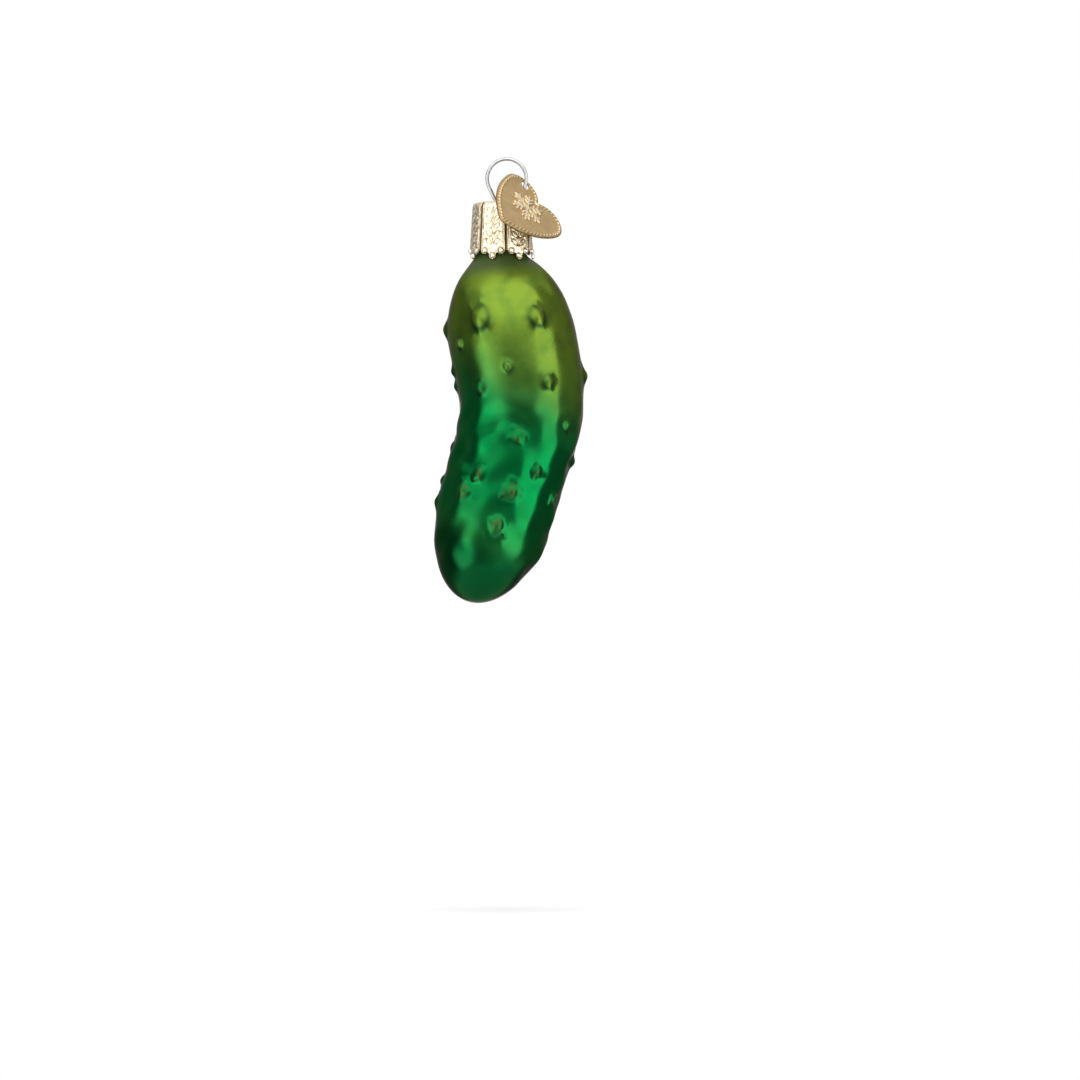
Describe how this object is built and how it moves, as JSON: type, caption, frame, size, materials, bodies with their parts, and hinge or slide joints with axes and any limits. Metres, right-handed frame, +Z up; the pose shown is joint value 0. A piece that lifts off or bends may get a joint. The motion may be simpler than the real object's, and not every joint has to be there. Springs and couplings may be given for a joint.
{
  "type": "pickle ornament",
  "caption": "Hollow blown-glass pickle ornament with a fluted crown cap, a spring-wire hanging loop and a swinging heart tag.",
  "frame": {"origin": "the centre of the hanger's eye, where a hook passes through", "axes": "+Z up along the hanging ornament, +Y through the eye away from the viewer of the front, +X to the right seen from the front"},
  "size_m": [0.03, 0.0266, 0.0871],
  "materials": {
    "lacquered_glass": "blown glass, silvered inside and coated with satin metallic green lacquer, yellow-green near the cap",
    "gold_cap": "thin stamped metal with a pale gold finish",
    "spring_wire": "drawn spring wire, bright",
    "brass_tag": "stamped brass sheet, slightly aged"
  },
  "bodies": {
    "hanger": {"hanger_clip": "spring_wire"},
    "cap": {"crown_cap": "gold_cap"},
    "pickle": {"glass_body": "lacquered_glass"},
    "tag": {"heart_tag": "brass_tag"}
  },
  "joints": [
    {"name": "cap_swivel", "type": "hinge", "parent": "hanger", "child": "cap", "pos_m": [-0.00097, 0, -0.00455], "axis": [0, 0, 1], "continuous": true},
    {"name": "glass_pull", "type": "slide", "parent": "cap", "child": "pickle", "axis": [0, 0, -1], "range_m": [0, 0.014]},
    {"name": "tag_swing", "type": "hinge", "parent": "hanger", "child": "tag", "pos_m": [0.00356, 0, -0.0014], "axis": [-1, 0, 0], "range_deg": [0, 74]}
  ]
}
